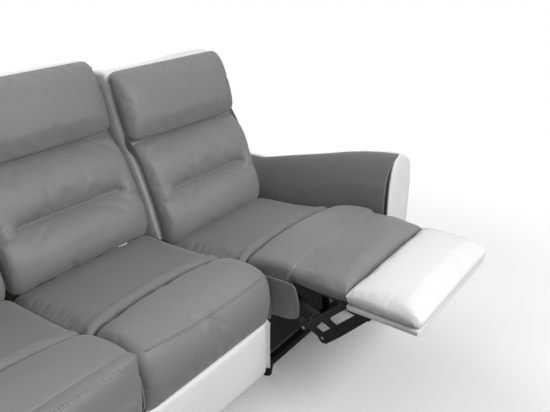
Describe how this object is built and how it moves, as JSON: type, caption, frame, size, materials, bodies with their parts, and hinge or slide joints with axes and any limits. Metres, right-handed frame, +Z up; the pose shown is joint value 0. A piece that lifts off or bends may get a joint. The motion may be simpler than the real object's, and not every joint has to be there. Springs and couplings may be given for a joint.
{
  "type": "reclining sofa",
  "caption": "Three-seat reclining sofa in two tones, with fold-out footrests, gliding seats and reclining backs at both ends.",
  "frame": {"origin": "on the floor, at the middle of the bounding box with the right footrest open", "axes": "+Z up, -Y towards the front of the sofa, +X towards the right arm seen from the front"},
  "size_m": [2.032, 1.3484, 1.0259],
  "materials": {
    "grey_microfibre": "brushed microfibre cover over foam, satin nap",
    "white_leatherette": "embossed coated fabric, soft sheen",
    "black_steel": "black powder-coated steel plate and tube",
    "spring_steel": "drawn spring wire",
    "softwood": "planed softwood",
    "plywood": "sanded plywood",
    "black_plastic": "moulded plastic, fine grain"
  },
  "bodies": {
    "frame": {"base_brackets": "black_steel", "left_arm_shell": "white_leatherette", "left_arm_pad": "grey_microfibre", "left_arm_frame": "softwood", "right_arm_shell": "white_leatherette", "right_arm_pad": "grey_microfibre", "right_arm_frame": "softwood", "lever_cups": "black_plastic", "floor_feet": "black_plastic", "base_rails": "black_steel", "middle_seat_box": "plywood", "middle_seat_springs": "spring_steel", "middle_seat_cushion": "grey_microfibre", "middle_seat_front_roll": "grey_microfibre", "middle_kick_panel": "white_leatherette", "middle_back_frame": "softwood", "middle_back_cushion": "grey_microfibre", "middle_back_shell": "white_leatherette"},
    "left_front_swing": {"left_front_swing_links": "black_steel"},
    "left_rear_swing": {"left_rear_swing_links": "black_steel"},
    "left_seat": {"left_seat_plates": "black_steel", "left_seat_frame": "black_steel", "left_seat_springs": "spring_steel", "left_seat_cushion": "grey_microfibre", "left_seat_front_roll": "grey_microfibre", "left_side_gussets": "grey_microfibre"},
    "left_drive_link": {"left_drive_links": "black_steel"},
    "left_guide_link": {"left_guide_links": "black_steel"},
    "left_cross_link": {"left_cross_links": "black_steel"},
    "left_lift_link": {"left_lift_links": "black_steel"},
    "left_footrest": {"left_footrest_brackets": "black_steel", "left_footrest_board": "plywood", "left_footrest_pad": "grey_microfibre", "left_footrest_end_pad": "white_leatherette"},
    "left_back": {"left_back_hinge_plates": "black_steel", "left_back_frame": "softwood", "left_back_cushion": "grey_microfibre", "left_back_shell": "white_leatherette"},
    "right_front_swing": {"right_front_swing_links": "black_steel"},
    "right_rear_swing": {"right_rear_swing_links": "black_steel"},
    "right_seat": {"right_seat_plates": "black_steel", "right_seat_frame": "black_steel", "right_seat_springs": "spring_steel", "right_seat_cushion": "grey_microfibre", "right_seat_front_roll": "grey_microfibre", "right_side_gussets": "grey_microfibre"},
    "right_drive_link": {"right_drive_links": "black_steel"},
    "right_guide_link": {"right_guide_links": "black_steel"},
    "right_cross_link": {"right_cross_links": "black_steel"},
    "right_lift_link": {"right_lift_links": "black_steel"},
    "right_footrest": {"right_footrest_brackets": "black_steel", "right_footrest_board": "plywood", "right_footrest_pad": "grey_microfibre", "right_footrest_end_pad": "white_leatherette"},
    "right_back": {"right_back_hinge_plates": "black_steel", "right_back_frame": "softwood", "right_back_cushion": "grey_microfibre", "right_back_shell": "white_leatherette"},
    "left_release_lever": {"left_release_lever": "black_plastic"},
    "right_release_lever": {"right_release_lever": "black_plastic"}
  },
  "joints": [
    {"name": "left_open", "type": "hinge", "parent": "frame", "child": "left_front_swing", "pos_m": [-0.54, -0.06902, 0.18774], "axis": [1, 0, 0], "range_deg": [0, 44]},
    {"name": "left_rear_swing", "type": "hinge", "parent": "frame", "child": "left_rear_swing", "pos_m": [-0.54, 0.27658, 0.18094], "axis": [1, 0, 0], "range_deg": [0, 46.02]},
    {"name": "left_seat_tilt", "type": "hinge", "parent": "left_front_swing", "child": "left_seat", "pos_m": [-0.54, -0.03109, 0.3], "axis": [1, 0, 0], "range_deg": [-48.02, 0]},
    {"name": "left_drive_link", "type": "hinge", "parent": "left_seat", "child": "left_drive_link", "pos_m": [-0.54, -0.05409, 0.353], "axis": [1, 0, 0], "range_deg": [-86.02, 0]},
    {"name": "left_guide_link", "type": "hinge", "parent": "left_seat", "child": "left_guide_link", "pos_m": [-0.54, -0.10409, 0.395], "axis": [1, 0, 0], "range_deg": [-86.02, 0]},
    {"name": "left_cross_link", "type": "hinge", "parent": "left_drive_link", "child": "left_cross_link", "pos_m": [-0.54, 0.03291, 0.136], "axis": [1, 0, 0], "range_deg": [0, 86.02]},
    {"name": "left_lift_link", "type": "hinge", "parent": "left_drive_link", "child": "left_lift_link", "pos_m": [-0.54, 0.02291, 0.206], "axis": [1, 0, 0], "range_deg": [0, 86.02]},
    {"name": "left_footrest_swing", "type": "hinge", "parent": "left_seat", "child": "left_footrest", "pos_m": [-0.54, -0.19809, 0.473], "axis": [1, 0, 0], "range_deg": [-86.02, 0]},
    {"name": "left_back_recline", "type": "hinge", "parent": "left_seat", "child": "left_back", "pos_m": [-0.54, 0.37691, 0.4], "axis": [1, 0, 0], "range_deg": [-28, 4.5]},
    {"name": "left_lever", "type": "hinge", "parent": "frame", "child": "left_release_lever", "pos_m": [-0.995, 0.01891, 0.33], "axis": [1, 0, 0], "range_deg": [-40, 0], "stiffness_Nm_per_rad": 1.2, "springref_deg": 20.05},
    {"name": "right_open", "type": "hinge", "parent": "frame", "child": "right_front_swing", "pos_m": [0.54, -0.06902, 0.18774], "axis": [1, 0, 0], "range_deg": [-44, 0]},
    {"name": "right_rear_swing", "type": "hinge", "parent": "frame", "child": "right_rear_swing", "pos_m": [0.54, 0.27658, 0.18094], "axis": [1, 0, 0], "range_deg": [-46.02, 0]},
    {"name": "right_seat_tilt", "type": "hinge", "parent": "right_front_swing", "child": "right_seat", "pos_m": [0.54, -0.11972, 0.29484], "axis": [1, 0, 0], "range_deg": [0, 48.02]},
    {"name": "right_drive_link", "type": "hinge", "parent": "right_seat", "child": "right_drive_link", "pos_m": [0.54, -0.13897, 0.34932], "axis": [1, 0, 0], "range_deg": [0, 86.02]},
    {"name": "right_guide_link", "type": "hinge", "parent": "right_seat", "child": "right_guide_link", "pos_m": [0.54, -0.18591, 0.3947], "axis": [1, 0, 0], "range_deg": [0, 86.02]},
    {"name": "right_cross_link", "type": "hinge", "parent": "right_drive_link", "child": "right_cross_link", "pos_m": [0.54, -0.35597, 0.26232], "axis": [1, 0, 0], "range_deg": [-86.02, 0]},
    {"name": "right_lift_link", "type": "hinge", "parent": "right_drive_link", "child": "right_lift_link", "pos_m": [0.54, -0.28597, 0.27232], "axis": [1, 0, 0], "range_deg": [-86.02, 0]},
    {"name": "right_footrest_swing", "type": "hinge", "parent": "right_seat", "child": "right_footrest", "pos_m": [0.54, -0.27425, 0.47907], "axis": [1, 0, 0], "range_deg": [0, 86.02]},
    {"name": "right_back_recline", "type": "hinge", "parent": "right_seat", "child": "right_back", "pos_m": [0.54, 0.29426, 0.36614], "axis": [1, 0, 0], "range_deg": [-32.5, 0]},
    {"name": "right_lever", "type": "hinge", "parent": "frame", "child": "right_release_lever", "pos_m": [0.995, 0.01891, 0.33], "axis": [1, 0, 0], "range_deg": [-40, 0], "stiffness_Nm_per_rad": 1.2, "springref_deg": 20.05}
  ],
  "couplings": [
    {"joint": "left_rear_swing", "follows": "left_open", "ratio": 1.0455},
    {"joint": "left_seat_tilt", "follows": "left_open", "ratio": -1.0909},
    {"joint": "left_drive_link", "follows": "left_open", "ratio": -1.9545},
    {"joint": "left_guide_link", "follows": "left_open", "ratio": -1.9545},
    {"joint": "left_cross_link", "follows": "left_open", "ratio": 1.9545},
    {"joint": "left_lift_link", "follows": "left_open", "ratio": 1.9545},
    {"joint": "left_footrest_swing", "follows": "left_open", "ratio": -1.9545},
    {"joint": "right_rear_swing", "follows": "right_open", "ratio": 1.0455},
    {"joint": "right_seat_tilt", "follows": "right_open", "ratio": -1.0909},
    {"joint": "right_drive_link", "follows": "right_open", "ratio": -1.9545},
    {"joint": "right_guide_link", "follows": "right_open", "ratio": -1.9545},
    {"joint": "right_cross_link", "follows": "right_open", "ratio": 1.9545},
    {"joint": "right_lift_link", "follows": "right_open", "ratio": 1.9545},
    {"joint": "right_footrest_swing", "follows": "right_open", "ratio": -1.9545}
  ]
}
